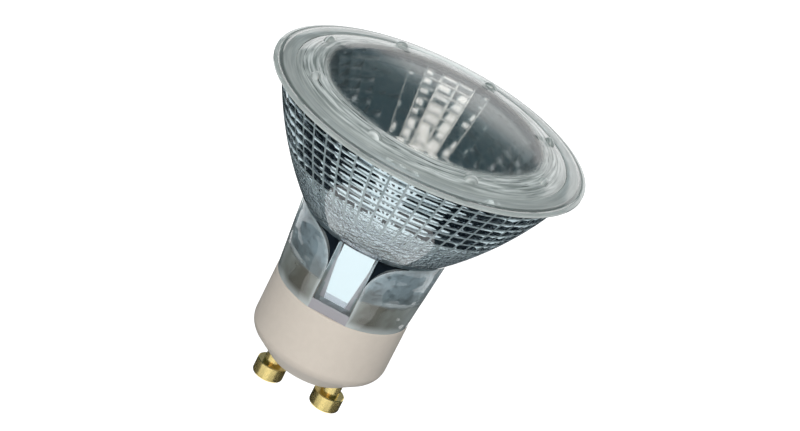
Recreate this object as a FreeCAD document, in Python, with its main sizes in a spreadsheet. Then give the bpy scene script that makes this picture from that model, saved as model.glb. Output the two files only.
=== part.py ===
import FreeCAD, Part
import math
import os
import Sketcher

# Mains reflector spot lamp with a two-pin twist-lock cap.
# The lamp stands on its own axis: Z runs from the cap to the front glass, the origin is the middle
# of the ceramic end face, and the two pins lie on X.

SIZES = [
    # Rim and bowl of the pressed glass reflector
    ("rim_radius", 25.5, "widest edge of the rim"),
    ("rim_edge", 0.3, "height of the rim's outer edge"),
    ("rim_rise", 0.8, "rise of the rim's top from its lower edge to the front glass"),
    ("rim_curve_radius", 9.0, "radius of the rounded rim top"),
    ("rim_ledge", 1.4, "width of the ledge under the rim"),
    ("rim_ring_width", 3.4, "width of the rim's top outside the front glass"),
    ("bowl_height", 19.15, "from the foot of the bowl to the rim's lower edge"),
    ("bowl_foot_radius", 12.2, "outside of the bowl where the neck starts"),
    ("bowl_curve_radius", 58.0, "radius of the bowl's outer curve"),
    # Mirror inside the bowl
    ("mirror_foot_wall", 1.4, "glass beside the foot of the mirror"),
    ("mirror_floor", 1.35, "foot of the mirror above the foot of the bowl"),
    ("facet_columns", 48, "facets round the mirror"),
    ("facet_rows", 12, "facets from the foot to the rim"),
    # Neck under the bowl
    ("neck_height", 12.65, "from the ceramic to the foot of the bowl"),
    ("neck_inset", 0.05, "step from the ceramic's side in to the neck"),
    ("neck_bore_radius", 7.4, "bore that holds the capsule"),
    ("bore_flat_foot", 0.4, "flats behind the ribs, in from the bore at the spigot"),
    ("bore_flat_top", 0.65, "flats behind the ribs, in from the bore at the mirror"),
    ("rib_width", 6.35, "flat rib on the front and the back of the neck"),
    ("pocket_size", 5.85, "rounded pockets beside the ribs, down from the bowl and out from the rib"),
    ("pocket_depth", 2.9, "pockets beside the ribs, in from the foot of the bowl"),
    ("spigot_length", 4.0, "glass that goes down into the ceramic"),
    # Front glass
    ("seat_width", 0.8, "ledge that carries the front glass"),
    ("seat_depth", 0.4, "ledge below the rim's lower edge"),
    ("seal_thickness", 0.15, "sealing ring under the front glass"),
    ("cover_clearance", 0.1, "gap round the front glass"),
    ("cover_thickness", 2.15, "underside of the front glass to the edge of its window"),
    ("cover_edge_height", 1.0, "height of the front glass at its edge"),
    ("cover_bevel_width", 2.7, "sloped border round the window"),
    ("cover_crown_radius", 620.0, "radius of the slightly domed window"),
    ("bump_count", 8, "moulded bumps round the window"),
    ("bump_inset", 2.3, "bumps in from the edge of the front glass"),
    ("bump_length", 1.25, "half length of a bump round the rim"),
    ("bump_width", 0.9, "half width of a bump across the rim"),
    ("bump_rise", 0.5, "bumps above the window's edge"),
    ("bump_phase", 31.0, "angle of the first bump from X"),
    # Ceramic cap
    ("ceramic_radius", 11.1, "straight side of the ceramic"),
    ("ceramic_height", 13.5, "end face to the glass"),
    ("ceramic_end_radius", 6.8, "flat end face round the pins"),
    ("ceramic_taper_height", 3.0, "height of the tapered end"),
    ("ceramic_taper_radius", 10.35, "upper end of the tapered end"),
    ("ceramic_shoulder_height", 1.7, "rounded shoulder above the taper"),
    ("ceramic_shoulder_radius", 2.6, "radius of the rounded shoulder"),
    ("ceramic_bore_radius", 9.0, "cup for the glass spigot"),
    ("ceramic_floor", 5.0, "thickness of the cup's floor"),
    ("cement_gap", 0.4, "cement between the spigot and the cup"),
    # Contact pins
    ("pin_spacing", 10.0, "between the pin axes"),
    ("pin_head_radius", 2.5, "head of a pin"),
    ("pin_head_height", 2.6, "height of the head"),
    ("pin_edge_round", 0.45, "rounded lower edge of the head"),
    ("pin_shank_radius", 1.5, "shank of a pin"),
    ("pin_shank_length", 2.9, "shank between the ceramic and the head"),
    ("pin_rivet_radius", 2.2, "riveted tail on the cup's floor"),
    ("pin_rivet_height", 0.6, "height of the riveted tail"),
    ("pin_bore_radius", 0.4, "bore for the lead"),
    # Quartz capsule and what it holds
    ("capsule_radius", 5.0, "outside of the quartz bulb"),
    ("capsule_wall", 0.9, "quartz wall"),
    ("capsule_length", 8.0, "straight side of the bulb"),
    ("capsule_shoulder", 2.0, "cone between the pinch and the straight side"),
    ("capsule_tip_radius", 0.9, "sealed-off tip"),
    ("capsule_tip_length", 1.2, "length of the sealed-off tip"),
    ("pinch_inset", 3.0, "lower end of the pinch above the spigot's end"),
    ("pinch_width", 9.0, "pinch across the leads"),
    ("pinch_thickness", 3.2, "pinch through the leads"),
    ("pinch_height", 9.0, "length of the pinch"),
    ("pinch_cover", 1.1, "quartz between the pinch and the bulb's inside"),
    ("foil_width", 2.0, "sealing foil"),
    ("foil_thickness", 0.1, "sealing foil"),
    ("foil_length", 5.0, "sealing foil"),
    ("foil_level", 2.0, "foil above the lower end of the pinch"),
    ("leg_spacing", 4.4, "between the legs of the filament"),
    ("leg_level", 12.0, "foot of the filament above the lower end of the pinch"),
    ("leg_length", 4.5, "straight legs of the filament"),
    ("coil_radius", 0.45, "outside of the coiled filament"),
    ("inner_lead_radius", 0.25, "wire inside the bulb"),
    ("support_radius", 0.2, "support wire of the filament"),
    ("support_root", 2.5, "support wire held in the pinch"),
    ("support_gap", 0.05, "under the filament's bend"),
    ("outer_lead_radius", 0.3, "wire from the pinch to a pin"),
    ("lead_drop", 1.5, "lead below the pinch before it turns out"),
    ("lead_rise", 2.8, "lead on the pin's axis above the riveted tail"),
    ("lead_depth", 3.6, "lead down in the pin from the cup's floor"),
    ("capsule_cement_foot", 0.6, "cement above the lower end of the pinch"),
    ("capsule_cement_height", 6.4, "height of the cement round the pinch"),
]

doc = FreeCAD.newDocument("reflector_lamp")
sheet = doc.addObject("Spreadsheet::Sheet", "dim")
for row, (alias, value, note) in enumerate(SIZES, start=1):
    sheet.set(f"A{row}", f"'{note}")
    sheet.set(f"B{row}", str(value))
    sheet.setAlias(f"B{row}", alias)
doc.recompute()

# Heights and radii that several pieces share, as expressions of the sheet
BOWL_FOOT = "(dim.ceramic_height + dim.neck_height)"
RIM_LEVEL = f"({BOWL_FOOT} + dim.bowl_height)"
SEAT_LEVEL = f"({RIM_LEVEL} - dim.seat_depth)"
COVER_FOOT = f"({SEAT_LEVEL} + dim.seal_thickness)"
WINDOW_LEVEL = f"({COVER_FOOT} + dim.cover_thickness)"
MIRROR_FOOT = f"({BOWL_FOOT} + dim.mirror_floor)"
SPIGOT_FOOT = "(dim.ceramic_height - dim.spigot_length)"
PINCH_FOOT = f"({SPIGOT_FOOT} + dim.pinch_inset)"
PIN_TAIL = "(dim.ceramic_floor + dim.pin_rivet_height)"
NECK_FOOT_RADIUS = "(dim.ceramic_radius - dim.neck_inset)"
SPIGOT_RADIUS = "(dim.ceramic_bore_radius - dim.cement_gap)"
COVER_RADIUS = "(dim.rim_radius - dim.rim_ring_width)"
RECESS_RADIUS = f"({COVER_RADIUS} + dim.cover_clearance)"
SEAT_RADIUS = f"({COVER_RADIUS} - dim.seat_width)"
WINDOW_RADIUS = f"({COVER_RADIUS} - dim.cover_bevel_width)"
MIRROR_FOOT_RADIUS = "(dim.bowl_foot_radius - dim.mirror_foot_wall)"
HALF_RIB = "(dim.rib_width / 2)"
HALF_PINS = "(dim.pin_spacing / 2)"
HALF_LEGS = "(dim.leg_spacing / 2)"
PINCH_TOP = f"({PINCH_FOOT} + dim.pinch_height)"
CAVITY_FOOT = f"({PINCH_TOP} + dim.pinch_cover)"
FOIL_FOOT = f"({PINCH_FOOT} + dim.foil_level)"
FOIL_TOP = f"({FOIL_FOOT} + dim.foil_length)"
LEG_FOOT = f"({PINCH_FOOT} + dim.leg_level)"
LEG_TOP = f"({LEG_FOOT} + dim.leg_length)"

SIDES = {"left": "-", "right": ""}
TOOL_REACH = "(2 * dim.rim_radius)"
HALF_TURN = math.pi
ANGLE_SLACK = 1e-6


def number(expression):
    """Return the value of an expression of the sheet."""
    return float(sheet.evalExpression(expression))


def bind(feature, **expressions):
    """Bind properties of a feature to the sheet; two underscores stand for a dot."""
    for name, expression in expressions.items():
        feature.setExpression(name.replace("__", "."), expression)


def plane_of(body, role):
    """Return one of the body's own origin planes."""
    return [plane for plane in body.Origin.OriginFeatures if plane.Role == role][0]


def outline(body, name, corners, closed=True):
    """Draw corners (x, z) on the body's XZ plane, each held by the sheet.

    A corner with a third entry starts an arc of that radius to the next corner; a minus sign in
    front of it turns the bulge to the other side.
    """
    sketch = body.newObject("Sketcher::SketchObject", name)
    sketch.AttachmentSupport = [(plane_of(body, "XZ_Plane"), "")]
    sketch.MapMode = "FlatFace"
    points = [FreeCAD.Vector(number(corner[0]), number(corner[1]), 0) for corner in corners]
    spans = len(corners) if closed else len(corners) - 1
    arcs = {}
    ends = [(1, 2)] * spans
    for index in range(spans):
        start = points[index]
        end = points[(index + 1) % len(points)]
        if len(corners[index]) == 2:
            sketch.addGeometry(Part.LineSegment(start, end))
            continue
        flip = corners[index][2].startswith("-")
        radius = corners[index][2].lstrip("-")
        chord = end - start
        bulge = FreeCAD.Vector(chord.y, -chord.x, 0).normalize() * (-1 if flip else 1)
        reach = math.sqrt(max(number(radius) ** 2 - chord.Length ** 2 / 4, 0))
        circle = Part.Circle(start + chord * 0.5 - bulge * reach, FreeCAD.Vector(0, 0, 1), number(radius))
        first, last = circle.parameter(start), circle.parameter(end)
        forward = (last - first) % (2 * HALF_TURN) < HALF_TURN + ANGLE_SLACK
        low, high = (first, last) if forward else (last, first)
        sketch.addGeometry(Part.ArcOfCircle(circle, low, high))
        arcs[index] = radius
        if not forward:
            ends[index] = (2, 1)
    for index in range(spans if closed else spans - 1):
        after = (index + 1) % spans
        sketch.addConstraint(Sketcher.Constraint("Coincident", index, ends[index][1], after, ends[after][0]))
    for index, corner in enumerate(corners):
        span, end = (index, ends[index][0]) if index < spans else (index - 1, ends[index - 1][1])
        for kind, expression, value in (("DistanceX", corner[0], points[index].x),
                                        ("DistanceY", corner[1], points[index].y)):
            held = sketch.addConstraint(Sketcher.Constraint(kind, -1, 1, span, end, value))
            sketch.setExpression(f"Constraints[{held}]", expression)
    for index, radius in arcs.items():
        held = sketch.addConstraint(Sketcher.Constraint("Radius", index, number(radius)))
        sketch.setExpression(f"Constraints[{held}]", radius)
    doc.recompute()
    return sketch


def turned(name, corners):
    """Return a body turned about Z from a closed outline."""
    body = doc.addObject("PartDesign::Body", name)
    sketch = outline(body, name + "_outline", corners)
    turn = body.newObject("PartDesign::Revolution", name + "_turn")
    turn.Profile = sketch
    turn.ReferenceAxis = (sketch, ["V_Axis"])
    turn.Angle = 360
    doc.recompute()
    return body


def piped(name, corners, radius):
    """Return a body of round wire along an open outline that starts upright."""
    body = doc.addObject("PartDesign::Body", name)
    path = outline(body, name + "_path", corners, closed=False)
    section = body.newObject("Sketcher::SketchObject", name + "_section")
    section.AttachmentSupport = [(plane_of(body, "XY_Plane"), "")]
    section.MapMode = "FlatFace"
    section.setExpression("AttachmentOffset.Base.x", corners[0][0])
    section.setExpression("AttachmentOffset.Base.z", corners[0][1])
    section.addGeometry(Part.Circle(FreeCAD.Vector(0, 0, 0), FreeCAD.Vector(0, 0, 1), number(radius)))
    section.addConstraint(Sketcher.Constraint("Coincident", 0, 3, -1, 1))
    held = section.addConstraint(Sketcher.Constraint("Radius", 0, number(radius)))
    section.setExpression(f"Constraints[{held}]", radius)
    doc.recompute()
    pipe = body.newObject("PartDesign::AdditivePipe", name + "_pipe")
    pipe.Profile = section
    pipe.Spine = path
    pipe.Transition = "Round corner"
    doc.recompute()
    return body


def upright(name, radius, low, high, x="0"):
    """Return an upright cylinder between two heights."""
    rod = doc.addObject("Part::Cylinder", name)
    bind(rod, Radius=radius, Height=f"{high} - {low}", Placement__Base__x=x, Placement__Base__z=low)
    return rod


def block(name, width, depth, low, high, x="0"):
    """Return an upright block centred on its axis."""
    box = doc.addObject("Part::Box", name)
    bind(box, Length=width, Width=depth, Height=f"{high} - {low}")
    bind(box, Placement__Base__x=f"{x} - {width} / 2", Placement__Base__y=f"-{depth} / 2",
         Placement__Base__z=low)
    return box


def joined(name, shapes):
    """Return the shapes fused."""
    fused = doc.addObject("Part::MultiFuse", name)
    fused.Shapes = shapes
    return fused


def cut(name, base, tool):
    """Return the base with the tool cut away."""
    result = doc.addObject("Part::Cut", name)
    result.Base = base
    result.Tool = tool
    return result


# Faceted mirror: flat facets between polygons whose corners lie on a paraboloid
def mirror_core():
    """Return the solid inside the faceted mirror."""
    rows = int(number("dim.facet_rows"))
    sections = []
    for row in range(rows + 2):
        share = f"(min({row}; dim.facet_rows) / dim.facet_rows)"
        level = f"{MIRROR_FOOT} + ({SEAT_LEVEL} - {MIRROR_FOOT}) * {row} / dim.facet_rows"
        square = f"({SEAT_RADIUS} ^ 2 - {MIRROR_FOOT_RADIUS} ^ 2)"
        ring = doc.addObject("Part::RegularPolygon", f"facet_ring_{row}")
        bind(ring, Polygon="dim.facet_columns", Placement__Base__z=level,
             Circumradius=f"sqrt({MIRROR_FOOT_RADIUS} ^ 2 + {square} * {share})")
        sections.append(ring)
    core = doc.addObject("Part::Loft", "mirror_core")
    core.Sections = sections
    core.Solid = True
    core.Ruled = True
    return core


def leaning_slab(name, low_depth, high_depth, low, high):
    """Return a slab between two planes that lean alike at the front and the back of the neck.

    The planes stand low_depth from the axis at the lower end and high_depth at the upper end.
    """
    slab = doc.addObject("Part::Wedge", name)
    bind(slab, Xmin=f"-{TOOL_REACH}", Xmax=TOOL_REACH, X2min=f"-{TOOL_REACH}", X2max=TOOL_REACH)
    bind(slab, Ymin=low, Ymax=high, Zmin=f"-({low_depth})", Zmax=low_depth)
    bind(slab, Z2min=f"-({high_depth})", Z2max=high_depth)
    slab.Placement.Rotation = FreeCAD.Rotation(FreeCAD.Vector(1, 0, 0), 90)
    return slab


def bore_flat(level):
    """Return how far the bore's flats stand from the axis at a height."""
    share = f"(({level}) - {SPIGOT_FOOT}) / ({MIRROR_FOOT} - {SPIGOT_FOOT})"
    inset = f"(dim.bore_flat_foot + (dim.bore_flat_top - dim.bore_flat_foot) * {share})"
    return f"(dim.neck_bore_radius - {inset})"


def bore_core(name, low, high):
    """Return the inside of the neck's bore between two heights."""
    core = doc.addObject("Part::MultiCommon", name)
    core.Shapes = [
        upright(name + "_round", "dim.neck_bore_radius", low, high),
        leaning_slab(name + "_flats", bore_flat(low), bore_flat(high), low, high),
    ]
    return core


def pocket_pad(side):
    """Return the pockets beside the ribs on one side of the neck, right through it."""
    sign = SIDES[side]
    flip = "-" if sign else ""
    body = doc.addObject("PartDesign::Body", f"pocket_{side}")
    near = f"{sign}{HALF_RIB}"
    far = f"{sign}({HALF_RIB} + dim.pocket_size)"
    sketch = outline(body, f"pocket_{side}_outline", [
        (near, BOWL_FOOT),
        (far, BOWL_FOOT, flip + "dim.pocket_size"),
        (near, f"{BOWL_FOOT} - dim.pocket_size"),
    ])
    pad = body.newObject("PartDesign::Pad", f"pocket_{side}_pad")
    pad.Profile = sketch
    pad.SideType = "Symmetric"
    pad.setExpression("Length", TOOL_REACH)
    doc.recompute()
    return body


def neck_cuts():
    """Return what is cut from the outside of the neck: the flats of the ribs and the pockets beside them."""
    pocket_low = f"({BOWL_FOOT} - dim.pocket_size)"
    flare = f"(dim.bowl_foot_radius - {NECK_FOOT_RADIUS})"
    pocket_radius = f"(dim.bowl_foot_radius - {flare} * dim.pocket_size / dim.neck_height)"
    foot_chord, bowl_chord, pocket_chord = [
        f"sqrt({radius} ^ 2 - {HALF_RIB} ^ 2)"
        for radius in (NECK_FOOT_RADIUS, "dim.bowl_foot_radius", pocket_radius)]
    ribs = block("rib_band", "dim.rib_width", TOOL_REACH, "dim.ceramic_height", BOWL_FOOT)
    rib_core = leaning_slab("rib_core", foot_chord, bowl_chord, "dim.ceramic_height", BOWL_FOOT)
    pads = joined("pocket_pads", [pocket_pad(side) for side in SIDES])
    pocket_core = leaning_slab("pocket_core", pocket_chord, "dim.bowl_foot_radius - dim.pocket_depth",
                               pocket_low, BOWL_FOOT)
    return [cut("rib_flats", ribs, rib_core), cut("pockets", pads, pocket_core)]


def make_reflector():
    """Return the pressed glass reflector: rim, bowl, neck and spigot in one piece."""
    blank = turned("reflector_blank", [
        ("0", SPIGOT_FOOT),
        (SPIGOT_RADIUS, SPIGOT_FOOT),
        (SPIGOT_RADIUS, "dim.ceramic_height"),
        (NECK_FOOT_RADIUS, "dim.ceramic_height"),
        ("dim.bowl_foot_radius", BOWL_FOOT, "dim.bowl_curve_radius"),
        ("dim.rim_radius - dim.rim_ledge", RIM_LEVEL),
        ("dim.rim_radius", RIM_LEVEL),
        ("dim.rim_radius", f"{RIM_LEVEL} + dim.rim_edge", "dim.rim_curve_radius"),
        (RECESS_RADIUS, f"{RIM_LEVEL} + dim.rim_rise"),
        (RECESS_RADIUS, SEAT_LEVEL),
        ("0", SEAT_LEVEL),
    ])
    bore = bore_core("neck_bore", SPIGOT_FOOT, MIRROR_FOOT)
    return cut("reflector", blank, joined("reflector_cuts", [mirror_core(), bore] + neck_cuts()))


def make_front_glass():
    """Return the clear front glass with its bevelled border and moulded bumps."""
    disc = turned("front_glass_disc", [
        ("0", COVER_FOOT),
        (COVER_RADIUS, COVER_FOOT),
        (COVER_RADIUS, f"{COVER_FOOT} + dim.cover_edge_height"),
        (WINDOW_RADIUS, WINDOW_LEVEL, "dim.cover_crown_radius"),
        ("0", f"{WINDOW_LEVEL} + {WINDOW_RADIUS} ^ 2 / (2 * dim.cover_crown_radius)"),
    ])
    moulded = [disc]
    for index in range(int(number("dim.bump_count"))):
        bump = doc.addObject("Part::Ellipsoid", f"bump_{index + 1}")
        angle = f"(dim.bump_phase + {index} * 360 / dim.bump_count)"
        reach = f"({COVER_RADIUS} - dim.bump_inset)"
        bind(bump, Radius1="2 * dim.bump_rise", Radius2="dim.bump_width", Radius3="dim.bump_length")
        bind(bump, Placement__Base__x=f"{reach} * cos({angle} * 1 deg)",
             Placement__Base__y=f"{reach} * sin({angle} * 1 deg)",
             Placement__Base__z=f"{WINDOW_LEVEL} - dim.bump_rise")
        bump.Placement.Rotation = FreeCAD.Rotation(FreeCAD.Vector(0, 0, 1), number(angle))
        bump.setExpression("Placement.Rotation.Angle", angle)
        moulded.append(bump)
    return joined("front_glass", moulded)


def make_rim_seal():
    """Return the sealing ring between the front glass and its ledge."""
    return turned("rim_seal", [
        (SEAT_RADIUS, SEAT_LEVEL),
        (COVER_RADIUS, SEAT_LEVEL),
        (COVER_RADIUS, COVER_FOOT),
        (SEAT_RADIUS, COVER_FOOT),
    ])


def make_ceramic_base():
    """Return the ceramic cup with its tapered end and the two pin holes."""
    shoulder = "(dim.ceramic_taper_height + dim.ceramic_shoulder_height)"
    cup = turned("ceramic_cup", [
        ("0", "0"),
        ("dim.ceramic_end_radius", "0"),
        ("dim.ceramic_taper_radius", "dim.ceramic_taper_height", "dim.ceramic_shoulder_radius"),
        ("dim.ceramic_radius", shoulder),
        ("dim.ceramic_radius", "dim.ceramic_height"),
        ("dim.ceramic_bore_radius", "dim.ceramic_height"),
        ("dim.ceramic_bore_radius", "dim.ceramic_floor"),
        ("0", "dim.ceramic_floor"),
    ])
    holes = [upright(f"pin_hole_{side}", "dim.pin_shank_radius", "0", "dim.ceramic_floor", sign + HALF_PINS)
             for side, sign in SIDES.items()]
    return cut("ceramic_base", cup, joined("pin_holes", holes))


def make_contact_pin(side):
    """Return one headed brass pin, riveted through the ceramic and hollow for its lead."""
    foot = "(dim.pin_shank_length + dim.pin_head_height)"
    pin = turned(f"contact_pin_{side}", [
        ("0", f"-{foot}"),
        ("dim.pin_head_radius - dim.pin_edge_round", f"-{foot}", "dim.pin_edge_round"),
        ("dim.pin_head_radius", f"dim.pin_edge_round - {foot}"),
        ("dim.pin_head_radius", "-dim.pin_shank_length"),
        ("dim.pin_shank_radius", "-dim.pin_shank_length"),
        ("dim.pin_shank_radius", "dim.ceramic_floor"),
        ("dim.pin_rivet_radius", "dim.ceramic_floor"),
        ("dim.pin_shank_radius", PIN_TAIL),
        ("dim.pin_bore_radius", PIN_TAIL),
        ("dim.pin_bore_radius", "-dim.pin_shank_length"),
        ("0", "-dim.pin_shank_length"),
    ])
    pin.setExpression("Placement.Base.x", SIDES[side] + HALF_PINS)
    return pin


def bulb_outline(radius, foot, shoulder, top_radius, top):
    """Return the half outline of the quartz bulb or of its inside, up to a rounded top."""
    return [
        ("0", foot),
        (f"({radius} - {shoulder})", foot),
        (radius, f"{foot} + {shoulder}"),
        (radius, f"{top}", radius),
        (top_radius, f"{top} + sqrt({radius} ^ 2 - {top_radius} ^ 2)"),
    ]


def make_capsule(held):
    """Return the hollow quartz capsule, with the wires and foils that it is pinched round cut out."""
    foot = f"({PINCH_TOP} - dim.capsule_wall)"
    straight_top = f"({foot} + dim.capsule_shoulder + dim.capsule_length)"
    tip = f"({straight_top} + dim.capsule_radius + dim.capsule_tip_length)"
    inside = "(dim.capsule_radius - dim.capsule_wall)"
    bulb = turned("capsule_bulb", bulb_outline(
        "dim.capsule_radius", foot, "dim.capsule_shoulder", "dim.capsule_tip_radius", straight_top) + [
        ("dim.capsule_tip_radius / 2", tip),
        ("0", tip),
    ])
    cavity = turned("capsule_cavity", bulb_outline(
        inside, CAVITY_FOOT, f"({inside} / 2)", "(dim.capsule_tip_radius / 2)", straight_top) + [
        ("0", f"{straight_top} + {inside}"),
    ])
    pinch = block("pinch", "dim.pinch_width", "dim.pinch_thickness", PINCH_FOOT, PINCH_TOP)
    return cut("capsule", joined("capsule_body", [bulb, pinch]), joined("capsule_hollow", [cavity] + held))


def make_filament():
    """Return the coiled filament as its outer form: two legs and a bend between them."""
    return piped("filament", [
        (HALF_LEGS, LEG_FOOT),
        (HALF_LEGS, LEG_TOP, HALF_LEGS),
        ("0", f"{LEG_TOP} + {HALF_LEGS}", HALF_LEGS),
        ("-" + HALF_LEGS, LEG_TOP),
        ("-" + HALF_LEGS, LEG_FOOT),
    ], "dim.coil_radius")


def make_outer_lead(side):
    """Return the wire from a sealing foil down into its pin."""
    sign = SIDES[side]
    return piped(f"outer_lead_{side}", [
        (sign + HALF_LEGS, FOIL_FOOT),
        (sign + HALF_LEGS, f"{PINCH_FOOT} - dim.lead_drop"),
        (sign + HALF_PINS, f"{PIN_TAIL} + dim.lead_rise"),
        (sign + HALF_PINS, "dim.ceramic_floor - dim.lead_depth"),
    ], "dim.outer_lead_radius")


def make_capsule_cement():
    """Return the cement that fills the neck's bore round the pinch."""
    low = f"({PINCH_FOOT} + dim.capsule_cement_foot)"
    high = f"({low} + dim.capsule_cement_height)"
    plug = bore_core("cement_plug", low, high)
    slot = block("cement_slot", "dim.pinch_width", "dim.pinch_thickness", low, high)
    return cut("capsule_cement", plug, slot)


def make_base_cement():
    """Return the cement ring between the glass spigot and the ceramic cup."""
    return turned("base_cement", [
        (SPIGOT_RADIUS, SPIGOT_FOOT),
        ("dim.ceramic_bore_radius", SPIGOT_FOOT),
        ("dim.ceramic_bore_radius", "dim.ceramic_height"),
        (SPIGOT_RADIUS, "dim.ceramic_height"),
    ])


# Pieces, from the front to the cap
foils = [block(f"seal_foil_{side}", "dim.foil_width", "dim.foil_thickness", FOIL_FOOT, FOIL_TOP,
               sign + HALF_LEGS) for side, sign in SIDES.items()]
inner_leads = [upright(f"inner_lead_{side}", "dim.inner_lead_radius", FOIL_TOP, LEG_FOOT, sign + HALF_LEGS)
               for side, sign in SIDES.items()]
support_top = f"({LEG_TOP} + {HALF_LEGS} - dim.coil_radius - dim.support_gap)"
support = upright("filament_support", "dim.support_radius", f"({PINCH_TOP} - dim.support_root)", support_top)
outer_leads = [make_outer_lead(side) for side in SIDES]
pieces = [
    make_front_glass(),
    make_rim_seal(),
    make_reflector(),
    make_capsule(foils + inner_leads + [support] + outer_leads),
    make_filament(),
    support,
    *inner_leads,
    *foils,
    *outer_leads,
    make_capsule_cement(),
    make_base_cement(),
    make_ceramic_base(),
    *[make_contact_pin(side) for side in SIDES],
]
doc.recompute()

# Every feature has to be sound before a file is written
faults = [item.Label for item in doc.Objects if {"Invalid", "Error"} & set(item.State)]
faults += [piece.Label for piece in pieces if piece.Shape.isNull() or not piece.Shape.isValid()]
if faults:
    raise RuntimeError("unsound: " + ", ".join(faults))
os.makedirs("parts", exist_ok=True)
for piece in pieces:
    piece.Shape.exportStep(f"parts/{piece.Label}.step")
    print(f"{piece.Label}: {len(piece.Shape.Solids)} solid(s), {piece.Shape.Volume:.2f} cubic mm")
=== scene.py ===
"""Reflector spot lamp with a two-pin cap, dressed over its CAD frame.

The lamp stands on the origin with Z towards its front glass. Sizes are in millimetres and angles
in degrees, and they turn into metres and radians where they meet the mesh or a node.
"""

import logging
import math
from dataclasses import dataclass
from enum import Enum
from functools import partial
from typing import Any, Callable, ClassVar, Sequence

import bmesh
import bpy
from mathutils import Matrix, Vector

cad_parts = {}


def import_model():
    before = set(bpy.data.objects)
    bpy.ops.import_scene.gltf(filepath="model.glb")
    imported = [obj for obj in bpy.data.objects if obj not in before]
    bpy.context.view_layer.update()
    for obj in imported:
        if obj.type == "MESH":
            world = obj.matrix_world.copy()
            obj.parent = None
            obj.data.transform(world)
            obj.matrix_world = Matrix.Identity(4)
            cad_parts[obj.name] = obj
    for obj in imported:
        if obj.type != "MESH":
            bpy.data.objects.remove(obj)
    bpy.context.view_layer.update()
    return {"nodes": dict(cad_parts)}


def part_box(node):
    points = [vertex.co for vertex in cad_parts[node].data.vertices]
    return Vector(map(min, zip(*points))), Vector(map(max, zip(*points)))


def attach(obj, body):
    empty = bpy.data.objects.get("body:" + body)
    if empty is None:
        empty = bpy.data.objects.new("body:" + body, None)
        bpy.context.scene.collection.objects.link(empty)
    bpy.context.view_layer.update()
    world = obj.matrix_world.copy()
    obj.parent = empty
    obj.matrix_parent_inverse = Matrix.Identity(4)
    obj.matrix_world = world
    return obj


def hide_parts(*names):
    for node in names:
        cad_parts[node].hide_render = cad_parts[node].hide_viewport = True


MM = 0.001
FULL_TURN = 360.0
BODY = "root"
WHITE = "#FFFFFF"
LOG = logging.getLogger("spot_lamp")

# Settings of a node that changes smoothly between two ends, and of one that mixes colours
SMOOTH = {"interpolation_type": "SMOOTHSTEP"}
COLOUR = {"data_type": "RGBA"}

Mesh = bmesh.types.BMesh
Object = bpy.types.Object
Socket = bpy.types.NodeSocket
Add = Callable[..., Socket]
Inputs = dict[str, Any]
Point = tuple[float, float]
Spot = tuple[float, float, float]
# Where a change starts and where it is full, or the values at its two ends
Span = tuple[float, float]


class Carving(Enum):
    """How a tool changes a mesh."""

    CUT = "DIFFERENCE"
    JOIN = "UNION"


class Side(Enum):
    """Sides of the lamp along X."""

    LEFT = -1.0
    RIGHT = 1.0


class Facing(Enum):
    """Sides of the lamp along Y."""

    FRONT = -1.0
    BACK = 1.0


def linear(code: str) -> tuple[float, float, float, float]:
    """Turn an sRGB hex colour into linear RGBA.

    Args:
        code: Colour as #RRGGBB.

    Returns:
        Linear red, green, blue and a full alpha.
    """
    parts = [int(code[start : start + 2], 16) / 255 for start in (1, 3, 5)]
    red, green, blue = [
        part / 12.92 if part <= 0.04045 else ((part + 0.055) / 1.055) ** 2.4 for part in parts
    ]
    return red, green, blue, 1.0


def add_node(
    tree: bpy.types.NodeTree, kind: str, *values: Any, named: Inputs | None = None, **settings: Any
) -> Socket | None:
    """Add a shader node.

    Args:
        tree: Nodes of a material or of the world.
        kind: Blender's name of the node type after its first part, then a dot and any operation.
        values: What its inputs get, in their order: sockets, constants or hex colours.
        named: What its inputs get by their names.
        settings: Other properties of the node.

    Returns:
        The first output of the node, or None for a node that ends the tree.
    """
    base, _, operation = kind.partition(".")
    node = tree.nodes.new("ShaderNode" + base)
    if operation:
        node.operation = operation
    for name, value in settings.items():
        setattr(node, name, value)
    fed = list(zip([socket for socket in node.inputs if socket.enabled], values))
    fed += [(node.inputs[name], value) for name, value in (named or {}).items()]
    for socket, value in fed:
        if isinstance(value, Socket):
            tree.links.new(value, socket)
        else:
            socket.default_value = linear(value) if isinstance(value, str) else value
    return next((socket for socket in node.outputs if socket.enabled), None)


@dataclass(frozen=True)
class Finish:
    """A finish that makes one material.

    Attributes:
        name: The real material and how it was made.
    """

    name: str

    def material(self) -> bpy.types.Material:
        """Make the material at its first use.

        Returns:
            The material.
        """
        found = bpy.data.materials.get(self.name)
        if found is not None:
            return found
        made = bpy.data.materials.new(self.name)
        made.use_nodes = True
        made.node_tree.nodes.clear()
        add = partial(add_node, made.node_tree)
        add("OutputMaterial", self.surface(add))
        return made

    def surface(self, add: Add) -> Socket:
        """Build the shader over a point of the lamp in millimetres and return its output."""
        point = add("VectorMath.SCALE", add("TexCoord").node.outputs["Object"], 1 / MM)
        return add("BsdfPrincipled", named=self.inputs(add, point))

    def inputs(self, add: Add, point: Socket) -> Inputs:
        """Return what the shader's inputs get."""
        raise NotImplementedError


@dataclass(frozen=True)
class Glass(Finish):
    """Clear glass with a faint tint."""

    tint: str
    ior: float

    def surface(self, add: Add) -> Socket:
        """Build clear glass with a fire-polished skin and return its output."""
        inputs = {"Base Color": self.tint, "Roughness": 0.0, "IOR": self.ior, "Transmission Weight": 1.0}
        return add("BsdfPrincipled", named=inputs)


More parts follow.
